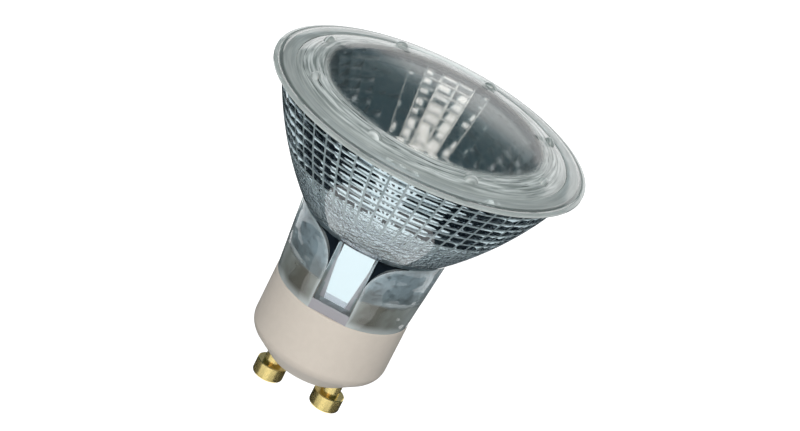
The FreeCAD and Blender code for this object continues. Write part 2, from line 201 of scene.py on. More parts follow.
@dataclass(frozen=True)
class FusedGlass(Finish):
    """Front glass fused to the bowl: a clear window in a cloudy border with drawn-out streaks; the pale
    strokes are partly painted glints, and the groove by the lip has painted shade.
    """

    clear: str = "#E3ECE8"
    # Colour of the pale strokes: cloudy glass, partly a painted glint
    cloud: str = "#F3F9F6"
    shade: str = "#A9B5B1"
    line: str = "#3F4A48"
    ior: float = 1.52
    border_span: Span = (17.0, 18.6)
    density: float = 0.8
    thinnest: float = 0.62
    bloom: float = 0.015
    streak_width: float = 0.36
    streak_turns: float = 3.4
    streak_depth: float = 0.08
    streak_detail: float = 3.0
    streak_span: Span = (0.28, 0.74)
    line_width: float = 0.26
    line_turns: float = 3.0
    line_span: Span = (0.62, 0.68)
    waver: float = 0.25
    rim_span: Span = (20.6, 22.4)
    evenness: float = 0.75
    mean_light: float = 0.45
    rim_clearness: float = 0.06
    lip_radius: float = 24.55
    lip_span: Span = (0.5, 0.125)
    lip_depth: float = 0.15
    # How much darker the groove by the lip is painted: painted shade
    lip_shade: float = 0.9
    roughness: Span = (0.055, 0.03)

    def drawn_out(self, add: Add, spoke: Socket, width: float, turns: float) -> Socket:
        """Build noise that is drawn out round the axis.

        Args:
            add: Adds a node to the material.
            spoke: Vector from the axis to the point.
            width: Width of a streak.
            turns: How often the noise changes round the border.

        Returns:
            The noise, from 0 to 1.
        """
        radius = add("VectorMath.LENGTH", spoke)
        way = add("VectorMath.NORMALIZE", spoke)
        ends = add("SeparateXYZ", add("VectorMath.SCALE", way, turns)).node.outputs
        spot = add("CombineXYZ", add("Math.DIVIDE", radius, width), ends["X"], ends["Y"])
        inputs = {"Scale": 1.0, "Detail": self.streak_detail, "Distortion": self.waver}
        return add("TexNoise", spot, named=inputs)

    def inputs(self, add: Add, point: Socket) -> Inputs:
        """Build the glass; the streaks run round the border and catch the light, and their pale strokes are
        partly painted glints.

        Args:
            add: Adds a node to the material.
            point: Point on the lamp.

        Returns:
            What the shader's inputs get.
        """
        spoke = add("VectorMath.MULTIPLY", point, (1.0, 1.0, 0.0))
        radius = add("VectorMath.LENGTH", spoke)
        streak = self.drawn_out(add, spoke, self.streak_width, self.streak_turns)
        line = self.drawn_out(add, spoke, self.line_width, self.line_turns)
        border = add("MapRange", radius, *self.border_span, **SMOOTH)
        rim = add("MapRange", radius, *self.rim_span, **SMOOTH)
        drawn = add("Math.MULTIPLY", border, add("Math.SUBTRACT", 1.0, rim))
        # By the lip a groove is bumped in and painted darker in colour, milk and line: painted shade
        off = add("Math.ABSOLUTE", add("Math.SUBTRACT", radius, self.lip_radius))
        lip = add("MapRange", off, *self.lip_span, **SMOOTH)
        even = add("Math.MULTIPLY", rim, self.evenness)
        # Pale strokes are cloudier and paler: partly the glass's cloud, partly painted glints
        light = add("MapRange", streak, *self.streak_span, **SMOOTH)
        light = add("Mix", even, light, self.mean_light)
        light = add("Math.MULTIPLY", light, add("Math.MULTIPLY_ADD", lip, -self.lip_shade, 1.0))
        milk = add("Math.MULTIPLY", border, add("Mix", light, self.thinnest, 1.0))
        milk = add("Math.MULTIPLY_ADD", milk, self.density, self.bloom)
        milk = add("Math.MULTIPLY_ADD", rim, -self.rim_clearness, milk)
        dark = add("MapRange", line, *self.line_span, **SMOOTH)
        dark = add("Math.MULTIPLY", dark, drawn)
        dark = add("Math.MULTIPLY_ADD", lip, self.lip_shade / 2, dark)
        cloud = add("Mix", light, self.shade, self.cloud, **COLOUR)
        lined = add("Mix", dark, cloud, self.line, **COLOUR)
        height = add("Math.MULTIPLY", add("Math.MULTIPLY", streak, drawn), self.streak_depth)
        height = add("Math.MULTIPLY_ADD", lip, -self.lip_depth, height)
        return {
            "Base Color": add("Mix", border, self.clear, lined, **COLOUR),
            "Roughness": add("Mix", border, *self.roughness),
            "IOR": self.ior,
            "Transmission Weight": add("Math.SUBTRACT", 1.0, milk),
            "Normal": add("Bump", named={"Height": height, "Distance": MM}),
        }


@dataclass(frozen=True)
class NeckGlass(Finish):
    """Pressed glass that is clear round the bowl, hazy on the neck and cloudy at its foot, with painted
    highlights along its edges and painted shade in the middle of its foot.
    """

    clear: str = "#E2EAE7"
    haze: str = "#C9D6DA"
    cloud: str = "#BAC2BC"
    # Darker middle of the foot: painted shade on the cement seen through the glass
    cement_in_shade: str = "#83847A"
    # Colour of the pale lines, mostly painted highlights on the glass's edges
    pale: str = "#DCE4E4"
    paleness: float = 2.0
    ior: float = 1.5
    roughness: float = 0.01
    ripple_size: float = 4.0
    ripple_depth: float = 0.02
    wave_size: float = 2.6
    wave_depth: float = 0.2
    foot_span: Span = (18.9, 18.3)
    neck_span: Span = (26.2, 25.0)
    bloom: float = 0.08
    density: float = 0.42
    patch_size: float = 3.4
    patch_rise: float = 0.9
    patch_span: Span = (0.3, 0.65)
    patch_share: float = 0.25
    rib_width: float = 6.35
    rib_blur: float = 0.1
    rib_span: Span = (15.4, 15.2)
    rib_cloud: str = "#E4E2E9"
    lobe_size: float = 5.85
    lobe_top: float = 26.15
    lobe_edge: float = 0.7
    # Strength of the painted highlight on the lobes' rounded edges
    edge_highlight: float = 0.32
    brim_level: float = 19.1
    brim_span: Span = (0.5, 0.125)
    brim_across: Span = (5.0, 8.5)
    brim_milk: float = 0.4
    base_span: Span = (15.2, 13.5)
    # Strength of the foot's pale line: the cement's pale tone and a painted highlight of the rounded glass
    # edge
    base_cement_and_highlight: float = 0.34
    # Where the painted shade in the foot is darkest, and how far it reaches
    shade_middle: float = 6.4
    shade_half: float = 3.6
    side_span: Span = (9.4, 11.3)
    # Strength of the painted highlight on the neck's sides
    side_highlight: float = 0.3

    def lobe_edges(self, add: Add, across: Socket, level: Socket) -> Socket:
        """Find where the lobes' rounded edges lie, which get a painted highlight.

        Args:
            add: Adds a node to the material.
            across: Distance from the plane through both ribs.
            level: Height on the lamp.

        Returns:
            A share that rises to 1 along the pockets, under the bowl and beside the ribs.
        """
        inwards = add("Math.SUBTRACT", self.rib_width / 2 + self.lobe_size, across)
        upwards = add("Math.SUBTRACT", level, self.lobe_top - self.lobe_size)
        ends = [add("Math.MAXIMUM", way, 0.0) for way in (inwards, upwards)]
        reach = add("VectorMath.LENGTH", add("CombineXYZ", *ends))
        return add("MapRange", reach, self.lobe_size - self.lobe_edge, self.lobe_size, **SMOOTH)

    def inputs(self, add: Add, point: Socket) -> Inputs:
        """Build the glass; its milk grows in two steps towards the foot, and leaves the ribs' mirror clear.

        Args:
            add: Adds a node to the material.
            point: Point on the lamp.

        Returns:
            What the shader's inputs get.
        """
        ends = add("SeparateXYZ", point).node.outputs
        level = ends["Z"]
        across = add("Math.ABSOLUTE", ends["X"])
        spots = add("TexNoise", point, 1 / self.patch_size)
        uneven = add("Math.MULTIPLY_ADD", spots, self.patch_rise, -self.patch_rise / 2)
        wavy = add("Math.ADD", level, uneven)
        half = self.rib_width / 2
        beside = add("MapRange", across, half - self.rib_blur, half + self.rib_blur, **SMOOTH)
        neck = add("MapRange", level, *self.neck_span, **SMOOTH)
        neck = add("Math.MULTIPLY", neck, beside)
        foot = add("MapRange", wavy, *self.foot_span, **SMOOTH)
        foot = add("Math.MULTIPLY", foot, beside)
        rib = add("MapRange", level, *self.rib_span, **SMOOTH)
        rib = add("Math.MULTIPLY", rib, add("Math.SUBTRACT", 1.0, beside))
        milk = add("Math.MULTIPLY", neck, self.bloom)
        milk = add("Math.MULTIPLY_ADD", foot, self.density - self.bloom, milk)
        milk = add("Math.MULTIPLY_ADD", rib, self.density, milk)
        off = add("Math.ABSOLUTE", add("Math.SUBTRACT", wavy, self.brim_level))
        brim = add("MapRange", off, *self.brim_span, **SMOOTH)
        outer = add("MapRange", across, *self.brim_across, **SMOOTH)
        brim = add("Math.MULTIPLY", brim, outer)
        base = add("MapRange", level, *self.base_span, **SMOOTH)
        side = add("MapRange", across, *self.side_span, **SMOOTH)
        # Pale lines make the glass paler and less clear: painted highlights on the lobes' rounded edges and
        # the neck's sides, a pale line below the lobes, and at the foot the cement's pale tone with a
        # painted highlight
        pale_parts = (
            (self.lobe_edges(add, across, level), neck, self.edge_highlight),
            (side, neck, self.side_highlight),
            (brim, beside, self.brim_milk),
            (base, beside, self.base_cement_and_highlight),
        )
        light: Any = 0.0
        for part, where, strength in pale_parts:
            part = add("Math.MULTIPLY", add("Math.MULTIPLY", part, where), strength)
            light = add("Math.MAXIMUM", light, part)
        # The middle of the foot is painted darker: painted shade on the cement seen through the glass
        astray = add("Math.ABSOLUTE", add("Math.SUBTRACT", across, self.shade_middle))
        unshaded = add("MapRange", astray, 0.0, self.shade_half, **SMOOTH)
        drift = add("MapRange", spots, *self.patch_span, -self.patch_share, self.patch_share, **SMOOTH)
        unshaded = add("Math.ADD", unshaded, drift)
        unshaded = add("MapRange", unshaded, 0.0, 1.0, **SMOOTH)
        lower = add("Mix", unshaded, self.cement_in_shade, self.cloud, **COLOUR)
        upper = add("Mix", neck, self.clear, self.haze, **COLOUR)
        colour = add("Mix", foot, upper, lower, **COLOUR)
        colour = add("Mix", add("Math.MULTIPLY", light, self.paleness), colour, self.pale, **COLOUR)
        ripple = add("TexNoise", point, 1 / self.ripple_size)
        ripple = add("Math.MULTIPLY", ripple, self.ripple_depth)
        wave = add("TexNoise", point, 1 / self.wave_size, named={"Detail": 0.0})
        wave = add("Math.MULTIPLY", wave, self.wave_depth)
        height = add("Math.MULTIPLY_ADD", wave, neck, ripple)
        return {
            "Base Color": add("Mix", rib, colour, self.rib_cloud, **COLOUR),
            "Roughness": self.roughness,
            "IOR": self.ior,
            "Transmission Weight": add("Math.SUBTRACT", 1.0, add("Math.ADD", milk, light)),
            "Normal": add("Bump", named={"Height": height, "Distance": MM}),
        }


@dataclass(frozen=True)
class AluminiumFilm(Finish):
    """Vapour-deposited aluminium: clear mirror facets above, a grainy silver near the neck."""

    colour: str = "#D8E2EA"
    clear_span: Span = (32.5, 36.0)
    roughness: Span = (0.2, 0.05)
    grain_size: float = 0.6
    grain_depth: float = 0.45
    columns: int = 48
    row_foot: float = 27.5
    row_height: float = 1.45
    pillow: float = 0.06
    tilt: float = 0.1
    air_side: float = 1.5

    def facets(self, add: Add, ends: Any) -> Socket:
        """Build a height field that swells and tilts each facet a little.

        Args:
            add: Adds a node to the material.
            ends: Sockets X, Y and Z of the point.

        Returns:
            The height.
        """
        angle = add("Math.ARCTAN2", ends["Y"], ends["X"])
        column = add("Math.MULTIPLY", angle, self.columns / math.tau)
        above = add("Math.SUBTRACT", ends["Z"], self.row_foot)
        row = add("Math.DIVIDE", above, self.row_height)
        cell = add("CombineXYZ", *[add("Math.FLOOR", place) for place in (column, row)])
        chance = add("TexWhiteNoise", cell, noise_dimensions="2D").node.outputs["Color"]
        lean = add("SeparateColor", chance).node.outputs
        total: Any = 0.0
        # From its middle to an edge, half a cell away, a facet falls by the pillow
        for place, share in ((column, lean["Red"]), (row, lean["Green"])):
            off = add("Math.SUBTRACT", add("Math.FRACT", place), 0.5)
            square = add("Math.MULTIPLY", off, off)
            slope = add("MapRange", share, 0.0, 1.0, -self.tilt, self.tilt)
            total = add("Math.MULTIPLY_ADD", square, -4 * self.pillow, total)
            total = add("Math.MULTIPLY_ADD", off, slope, total)
        return total

    def inputs(self, add: Add, point: Socket) -> Inputs:
        """Build the mirror; on the side to the glass its lower rows are grainy.

        Args:
            add: Adds a node to the material.
            point: Point on the lamp.

        Returns:
            What the shader's inputs get.
        """
        ends = add("SeparateXYZ", point).node.outputs
        high = add("MapRange", ends["Z"], *self.clear_span, **SMOOTH)
        glass_side = add("NewGeometry").node.outputs["Backfacing"]
        clear = add("Math.MAXIMUM", high, add("Math.SUBTRACT", 1.0, glass_side))
        swell = add("Math.MULTIPLY", clear, add("Mix", glass_side, self.air_side, 1.0))
        shaped = add("Math.MULTIPLY", self.facets(add, ends), swell)
        speckle = add("TexNoise", point, 1 / self.grain_size)
        speckle = add("Math.MULTIPLY", speckle, self.grain_depth)
        rough = add("Math.SUBTRACT", 1.0, clear)
        height = add("Math.MULTIPLY_ADD", speckle, rough, shaped)
        return {
            "Base Color": self.colour,
            "Metallic": 1.0,
            "Roughness": add("Mix", clear, *self.roughness),
            "Normal": add("Bump", named={"Height": height, "Distance": MM}),
        }


@dataclass(frozen=True)
class FlatFilm(Finish):
    """Aluminium film on flat glass: a clean mirror that narrows downwards between two dull edges."""

    colour: str = "#D8E2EA"
    dull: str = "#CFCED6"
    foot: float = 15.2
    top: float = 27.5
    foot_half: float = 1.75
    top_half: float = 3.15
    edge_blur: float = 0.08
    roughness: Span = (0.05, 0.4)

    def inputs(self, add: Add, point: Socket) -> Inputs:
        """Build the mirror between its slanted edges.

        Args:
            add: Adds a node to the material.
            point: Point on the lamp.

        Returns:
            What the shader's inputs get.
        """
        ends = add("SeparateXYZ", point).node.outputs
        slant = (self.top_half - self.foot_half) / (self.top - self.foot)
        half = add("Math.MULTIPLY_ADD", ends["Z"], slant, self.foot_half - self.foot * slant)
        past = add("Math.SUBTRACT", add("Math.ABSOLUTE", ends["X"]), half)
        dull = add("MapRange", past, -self.edge_blur, self.edge_blur, **SMOOTH)
        return {
            "Base Color": add("Mix", dull, self.colour, self.dull, **COLOUR),
            "Metallic": 1.0,
            "Roughness": add("Mix", dull, *self.roughness),
        }


@dataclass(frozen=True)
class Mineral(Finish):
    """Fired, cast or bare mineral whose tone drifts and whose skin is finely grained."""

    colour: str
    shade: str
    patch_size: float
    grain_size: float = 0.25
    grain_depth: float = 0.02
    roughness: float = 0.55
    patch_span: Span = (0.35, 0.65)

    def inputs(self, add: Add, point: Socket) -> Inputs:
        """Build the body; a real grain is finer, and this one is as coarse as it needs to show.

        Args:
            add: Adds a node to the material.
            point: Point on the lamp.

        Returns:
            What the shader's inputs get.
        """
        tone = add("TexNoise", point, 1 / self.patch_size)
        tone = add("MapRange", tone, *self.patch_span, **SMOOTH)
        grain = add("TexNoise", point, 1 / self.grain_size)
        return {
            "Base Color": add("Mix", tone, self.shade, self.colour, **COLOUR),
            "Roughness": self.roughness,
            "Normal": add("Bump", named={"Height": grain, "Distance": self.grain_depth * MM}),
        }


@dataclass(frozen=True)
class Metal(Finish):
    """Bare metal with fine marks from its making."""

    colour: str
    roughness: float
    mark_size: float = 0.2
    mark_depth: float = 0.004

    def inputs(self, add: Add, point: Socket) -> Inputs:
        """Build a satin metal; real marks are finer, and these are as coarse as they need to show.

        Args:
            add: Adds a node to the material.
            point: Point on the lamp.

        Returns:
            What the shader's inputs get.
        """
        marks = add("TexNoise", point, 1 / self.mark_size)
        return {
            "Base Color": self.colour,
            "Metallic": 1.0,
            "Roughness": self.roughness,
            "Normal": add("Bump", named={"Height": marks, "Distance": self.mark_depth * MM}),
        }


# Thick pressed glass: nearly clear, with soft ripples that break up its reflections
PRESSED_GLASS = NeckGlass("borosilicate_glass_pressed")
# The front glass is clear in its window and milky where it was fused to the rim
COVER_GLASS = FusedGlass("soda_lime_glass_flame_fused")
# Cement stands behind the glass at the foot of the neck and turns it grey
BACKED_GLASS = Mineral(
    "furnace_cement_on_glass",
    "#CDCDC6",
    "#BDBDB6",
    patch_size=2.0,
    grain_size=0.4,
    grain_depth=0.03,
    roughness=0.6,
)
# Quartz is colourless and fire polished
QUARTZ = Glass("quartz_tube_fused", "#FAFBFB", ior=1.46)
# The film gives the bowl its mirror cells and its grainy silver foot
MIRROR_FILM = AluminiumFilm("aluminium_film_vapour_deposited")
# Between the facets the film is dull on the side to the glass, so the grid shows as light lines
GROOVE_FILM = AluminiumFilm(
    "aluminium_film_in_mould_lines",
    "#E0E9EF",
    clear_span=(90.0, 99.0),
    roughness=(0.5, 0.05),
    grain_depth=0.0,
    pillow=0.0,
    tilt=0.0,
)
# Behind the ribs the film lies on flat glass and mirrors the floor cleanly
FLAT_FILM = FlatFilm("aluminium_film_on_flat_glass")
# Round the bore it is thin and dull
SATIN_FILM = Metal("aluminium_film_thin", "#A9B6BC", roughness=0.3, mark_size=2.2, mark_depth=0.35)
# Beside the ribs no film backs the glass; the pocket floors are painted near black, a painted shade and dark
# reflection of the recesses
POCKET_PAINTED_SHADE = Mineral(
    "pocket_glass_painted_shade",
    "#131B22",
    "#0C1116",
    patch_size=2.0,
    grain_size=1.0,
    grain_depth=0.01,
    roughness=0.05,
)
# Steatite is warm off-white and quite matt
CERAMIC = Mineral("steatite_ceramic_fired", "#DACFC2", "#D8CDC0", patch_size=1.2)
# Cement is rougher and greyer than the ceramic
CEMENT = Mineral(
    "furnace_cement_cast",
    "#BDB6AB",
    "#A79F93",
    patch_size=1.5,
    grain_size=0.3,
    grain_depth=0.06,
    roughness=0.9,
)
# Silicone keeps the front glass in place and hardly shows
SEALANT = Mineral(
    "silicone_sealant_cured",
    "#AEB5B2",
    "#A3ABA8",
    patch_size=2.0,
    grain_size=0.5,
    grain_depth=0.005,
    roughness=0.4,
)
# Turned brass is yellow with a satin side
BRASS = Metal("brass_turned", "#E4CF8A", roughness=0.27, mark_size=0.15, mark_depth=0.003)
# The coiled wire is a dark, soft grey
TUNGSTEN = Metal("tungsten_wire_coiled", "#77777A", roughness=0.4)
# Foils and inner wires are a paler grey
MOLYBDENUM = Metal("molybdenum_foil_rolled", "#A9A8A6", roughness=0.35)
# The outer wires are a warm grey with a little more shine
NICKEL = Metal("nickel_wire_drawn", "#BDB8AE", roughness=0.3)


def arc(start: Point, end: Point, radius: float, steps: int) -> list[Point]:
    """Draw an arc that bulges to the right of the way from start to end.

    Args:
        start: First point.
        end: Last point.
        radius: Radius of the arc; a negative one bulges to the left.
        steps: Spans of the arc.

    Returns:
        The points from start to end.
    """
    first, last = Vector(start), Vector(end)
    chord = last - first
    side = Vector((chord.y, -chord.x)).normalized() * math.copysign(1.0, radius)
    reach = math.sqrt(max(radius**2 - chord.length_squared / 4, 0.0))
    centre = (first + last) / 2 - side * reach
    swing = (first - centre).angle_signed(last - centre)
    points = []
    for step in range(1, steps):
        spoke = first - centre
        spoke.rotate(Matrix.Rotation(-swing * step / steps, 2))
        points.append(tuple(centre + spoke))
    return [start, *points, end]


def turn(
    bm: Mesh,
    profile: Sequence[Point],
    steps: int,
    closed: bool = False,
    start: float = 0.0,
    sweep: float = FULL_TURN,
    weld: float = 0.0005,
) -> None:
    """Turn a profile about Z.

    Args:
        bm: Mesh that takes the turned faces.
        profile: Points (radius, height).
        steps: Spans of the turn.
        closed: Whether the profile is a loop.
        start: Angle from X where the turn starts.
        sweep: Angle of the turn.
        weld: Points closer than this become one.
    """
    verts = [bm.verts.new((x * MM, 0.0, z * MM)) for x, z in profile]
    after = verts[1:] + verts[:1] if closed else verts[1:]
    edges = [bm.edges.new(pair) for pair in zip(verts, after)]
    bmesh.ops.rotate(bm, verts=verts, cent=(0, 0, 0), matrix=Matrix.Rotation(math.radians(start), 3, "Z"))
    bmesh.ops.spin(
        bm,
        geom=edges + verts,
        cent=(0, 0, 0),
        axis=(0, 0, 1),
        angle=math.radians(sweep),
        steps=steps,
        use_merge=sweep == FULL_TURN,
    )
    bmesh.ops.remove_doubles(bm, verts=bm.verts, dist=weld * MM)


def new_object(name: str, bm: Mesh) -> Object:
    """Turn a mesh into an object at the origin, with its normals facing out.

    Args:
        name: Name of the object.
        bm: Mesh, which is freed.

    Returns:
        The object.
    """
    bmesh.ops.recalc_face_normals(bm, faces=bm.faces)
    mesh = bpy.data.meshes.new(name)
    bm.to_mesh(mesh)
    bm.free()
    obj = bpy.data.objects.new(name, mesh)
    bpy.context.scene.collection.objects.link(obj)
    return obj


def settle(obj: Object) -> None:
    """Apply the modifiers of an object.

    Args:
        obj: Object that gets the new mesh.
    """
    before = obj.data
    evaluated = obj.evaluated_get(bpy.context.evaluated_depsgraph_get())
    made = bpy.data.meshes.new_from_object(evaluated)
    obj.modifiers.clear()
    obj.data = made
    bpy.data.meshes.remove(before)
    made.name = obj.name


def carve(obj: Object, tool: Mesh, how: Carving) -> None:
    """Cut a tool out of an object, or join it to the object.

    Args:
        obj: Object that is changed.
        tool: Mesh of the tool, which is freed.
        how: What the tool does.
    """
    helper = new_object(obj.name + "_tool", tool)
    step = obj.modifiers.new("carve", "BOOLEAN")
    step.operation = how.value
    step.solver = "EXACT"
    step.object = helper
    settle(obj)
    bpy.data.meshes.remove(helper.data)


def mend(obj: Object, gap: float) -> None:
    """Merge the points that cuts left very close together.

    Args:
        obj: Object that was cut.
        gap: Points closer than this become one.
    """
    bm = bmesh.new()
    bm.from_mesh(obj.data)
    bmesh.ops.remove_doubles(bm, verts=bm.verts, dist=gap * MM)
    bmesh.ops.dissolve_degenerate(bm, edges=bm.edges, dist=gap * MM)
    bm.to_mesh(obj.data)
    bm.free()


def soften(obj: Object, width: float, angle: float, segments: int) -> None:
    """Round the sharp edges of an object.

    Args:
        obj: Object that is changed.
        width: Width of the rounding.
        angle: Edges sharper than this are rounded.
        segments: Spans of the rounding.
    """
    step = obj.modifiers.new("soften", "BEVEL")
    step.width = width * MM
    step.segments = segments
    step.limit_method = "ANGLE"
    step.angle_limit = math.radians(angle)
    step.use_clamp_overlap = True
    settle(obj)


def smooth(obj: Object, angle: float) -> None:
    """Shade an object smooth.

    Args:
        obj: Object that is changed.
        angle: Edges sharper than this stay sharp.
    """
    obj.data.shade_smooth()
    obj.data.set_sharp_from_angle(angle=math.radians(angle))
    step = obj.modifiers.new("even_normals", "WEIGHTED_NORMAL")
    step.keep_sharp = True
    settle(obj)


def join_lamp(obj: Object, node: str) -> Object:
    """Let a piece ride on the lamp in place of a CAD node.

    Args:
        obj: The piece.
        node: CAD node that it stands for.

    Returns:
        The piece.
    """
    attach(obj, BODY)
    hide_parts(node)
    return obj


class Assembly:
    """Pieces of the lamp that are built and dressed together."""

    finish: ClassVar[Finish]

    def build(self) -> list[Object]:
        """Make the pieces and return them."""
        raise NotImplementedError

    def dress(self, pieces: list[Object]) -> None:
        """Give each piece the assembly's one finish."""
        for piece in pieces:
            piece.data.materials.append(self.finish.material())


class Coat(Enum):
    """Finishes on the reflector's faces, in the order of its materials."""

    GLASS = PRESSED_GLASS
    MIRROR = MIRROR_FILM
    GROOVE = GROOVE_FILM
    FLAT = FLAT_FILM
    SATIN = SATIN_FILM
    RIM = COVER_GLASS
    BACKED = BACKED_GLASS
    # Near-black painted shade on the pocket floors
    POCKET = POCKET_PAINTED_SHADE

    def index(self) -> int:
        """Return the finish's place among the reflector's materials."""
        return list(Coat).index(self)


@dataclass
class Reflector(Assembly):
    """Pressed glass bowl with rim, ribbed neck and spigot, and the faceted mirror inside it."""

    rim_radius: float = 25.5
    rim_level: float = 45.3
    rim_edge: float = 0.3
    rim_rise: float = 0.8
    rim_curve: float = 9.0
    rim_steps: int = 8
    rim_ledge: float = 1.4
    recess_radius: float = 22.2
    seat_level: float = 44.9
    seat_radius: float = 21.3
    bowl_foot: float = 26.15
    bowl_foot_radius: float = 12.2
    bowl_curve: float = 58.0
    bowl_steps: int = 16
    mirror_foot: float = 27.5
    mirror_foot_radius: float = 10.8
    mirror_reach: float = 0.5
    columns: int = 48
    rows: int = 12
    plain_rows: int = 3
    ring_limit: float = 9.0
    groove_width: float = 0.17
    groove_depth: float = -0.05
    neck_foot: float = 13.5
    neck_foot_radius: float = 11.05
    bore_radius: float = 7.44
    film_foot: float = 15.2
    cement_top: float = 17.6
    flat_foot: float = 7.04
    flat_top: float = 6.79
    spigot_foot: float = 9.5
    spigot_radius: float = 8.6
    rib_width: float = 6.35
    pocket_size: float = 5.85
    pocket_depth: float = 2.9
    pocket_steps: int = 16
    steps: int = 144
    tool_reach: float = 40.0
    slack: float = 0.02
    corner_slack: float = 1e-5
    mend_gap: float = 0.003
    smooth_angle: float = 18.0

    def mirror_radius(self, level: float) -> float:
        """Return the radius of the facet corners at a height: a paraboloid."""
        share = (level - self.mirror_foot) / (self.seat_level - self.mirror_foot)
        return math.sqrt(self.mirror_foot_radius**2 * (1 - share) + self.seat_radius**2 * share)

    def neck_radius(self, level: float) -> float:
        """Return the radius of the neck at a height."""
        share = (level - self.neck_foot) / (self.bowl_foot - self.neck_foot)
        return self.neck_foot_radius + (self.bowl_foot_radius - self.neck_foot_radius) * share

    def rib_depth(self, level: float) -> float:
        """Return how far the flat of a rib stands from the axis at a height."""
        return math.sqrt(self.neck_radius(level) ** 2 - (self.rib_width / 2) ** 2)

    def flat_depth(self, level: float) -> float:
        """Return how far the bore's flats stand from the axis at a height."""
        share = (level - self.spigot_foot) / (self.mirror_foot - self.spigot_foot)
        return self.flat_foot + (self.flat_top - self.flat_foot) * share

    def pocket_floor(self, level: float) -> float:
        """Find how far the floor of a pocket stands from the axis.

        Args:
            level: Height on the lamp.

        Returns:
            The distance along Y.
        """
        tip_level = self.bowl_foot - self.pocket_size
        tip = self.rib_depth(tip_level)
        share = (level - tip_level) / self.pocket_size
        return tip + (self.bowl_foot_radius - self.pocket_depth - tip) * share

    def profile(self) -> list[Point]:
        """Draw the half section: bore, outside, front glass seat and mirror rings.

        Returns:
            The points of the closed section.
        """
        ledge = (self.rim_radius - self.rim_ledge, self.rim_level)
        foot = (self.bowl_foot_radius, self.bowl_foot)
        edge = (self.rim_radius, self.rim_level + self.rim_edge)
        top = (self.recess_radius, self.rim_level + self.rim_rise)
        row = (self.seat_level - self.mirror_foot) / self.rows
        levels = [self.seat_level - row * index for index in range(self.rows + 1)]
        bore = (self.mirror_foot, self.cement_top, self.film_foot, self.spigot_foot)
        return [
            *[(self.bore_radius, level) for level in bore],
            (self.spigot_radius, self.spigot_foot),
            (self.spigot_radius, self.neck_foot),
            (self.neck_foot_radius, self.neck_foot),
            *arc(foot, ledge, self.bowl_curve, self.bowl_steps),
            (self.rim_radius, self.rim_level),
            *arc(edge, top, self.rim_curve, self.rim_steps),
            (self.recess_radius, self.seat_level),
            *[(self.mirror_radius(level), level) for level in levels],
        ]

    def on_mirror(self, spot: Vector) -> bool:
        """Tell whether a point lies on the mirror, its floor or the front glass seat.

        Args:
            spot: Point in metres.

        Returns:
            Whether it lies there.
        """
        level = spot.z / MM
        if not self.mirror_foot - self.slack < level < self.seat_level + self.slack:
            return False
        return spot.xy.length / MM < self.mirror_radius(level) + self.mirror_reach

    def off_middle(self, spot: Vector) -> float:
        """Return the angle in radians from the middle of a point's facet."""
        pitch = math.tau / self.columns
        return math.atan2(spot.y, spot.x) % pitch - pitch / 2

    def splits_facet(self, edge: bmesh.types.BMEdge) -> bool:
        """Tell whether an edge runs up through a facet.

        Args:
            edge: Edge of the turned bowl.

        Returns:
            Whether it lies on the mirror, between two corners of a facet.
        """
        first, second = (vert.co for vert in edge.verts)
        along = abs(first.z - second.z) < self.slack * MM
        if along or not (self.on_mirror(first) and self.on_mirror(second)):
            return False
        return math.cos(self.off_middle(first)) > math.cos(math.pi / self.columns) + self.corner_slack

    def flatten_facets(self, bm: Mesh) -> None:
        """Turn the round rings of the mirror into polygons, with one face for each facet.

        Args:
            bm: Mesh of the turned bowl.
        """
        for vert in bm.verts:
            if self.on_mirror(vert.co) and vert.co.xy.length > self.ring_limit * MM:
                shrink = math.cos(math.pi / self.columns) / math.cos(self.off_middle(vert.co))
                vert.co = Vector((vert.co.x * shrink, vert.co.y * shrink, vert.co.z))
        inner = [edge for edge in bm.edges if self.splits_facet(edge)]
        bmesh.ops.dissolve_edges(bm, edges=inner, use_verts=True)

    def flatten_bore(self, bm: Mesh) -> None:
        """Press two leaning flats into the bore, behind the ribs.

        Args:
            bm: Mesh of the turned bowl.
        """
        for vert in bm.verts:
            if vert.co.xy.length < (self.bore_radius + self.slack) * MM:
                limit = self.flat_depth(vert.co.z / MM) * MM
                vert.co.y = max(-limit, min(limit, vert.co.y))

    def coat_at(self, spot: Vector) -> Coat:
        """Choose the finish of a face.

        Args:
            spot: Middle of the face in metres.

        Returns:
            The finish.
        """
        radius, level = spot.xy.length / MM, spot.z / MM
        if radius < self.bore_radius + self.slack:
            if level > self.film_foot and abs(spot.y) / MM > self.flat_depth(level) - self.slack:
                return Coat.FLAT
            behind_rib = abs(spot.x) / MM < self.rib_width / 2
            return Coat.SATIN if behind_rib or level > self.cement_top else Coat.BACKED
        if self.on_mirror(spot):
            return Coat.MIRROR
        if level > self.rim_level - self.slack:
            return Coat.RIM
        return Coat.SATIN if level < self.neck_foot + self.slack else Coat.GLASS

    def blank(self) -> Object:
        """Make the bowl with its faceted mirror, before the neck is cut.

        Returns:
            The bowl, with the finishes chosen for its faces.
        """
        bm = bmesh.new()
        turn(bm, self.profile(), self.steps, closed=True)
        self.flatten_facets(bm)
        self.flatten_bore(bm)
        bmesh.ops.recalc_face_normals(bm, faces=bm.faces)
        row = (self.seat_level - self.mirror_foot) / self.rows
        low, high = self.mirror_foot + row * self.plain_rows, self.seat_level - self.slack
        facets = []
        for face in bm.faces:
            middle = face.calc_center_median()
            coat = self.coat_at(middle)
            face.material_index = coat.index()
            if coat is Coat.MIRROR and low < middle.z / MM < high:
                facets.append(face)
        grooves = bmesh.ops.inset_individual(
            bm,
            faces=facets,
            thickness=self.groove_width * MM,
            depth=self.groove_depth * MM,
            use_even_offset=True,
        )
        for face in grooves["faces"]:
            face.material_index = Coat.GROOVE.index()
        return new_object("reflector_glass", bm)

    def rib_tool(self, facing: Facing) -> Mesh:
        """Make the tool that flattens a rib.

        Args:
            facing: Face of the neck.

        Returns:
            The tool's mesh.
        """
        bm = bmesh.new()
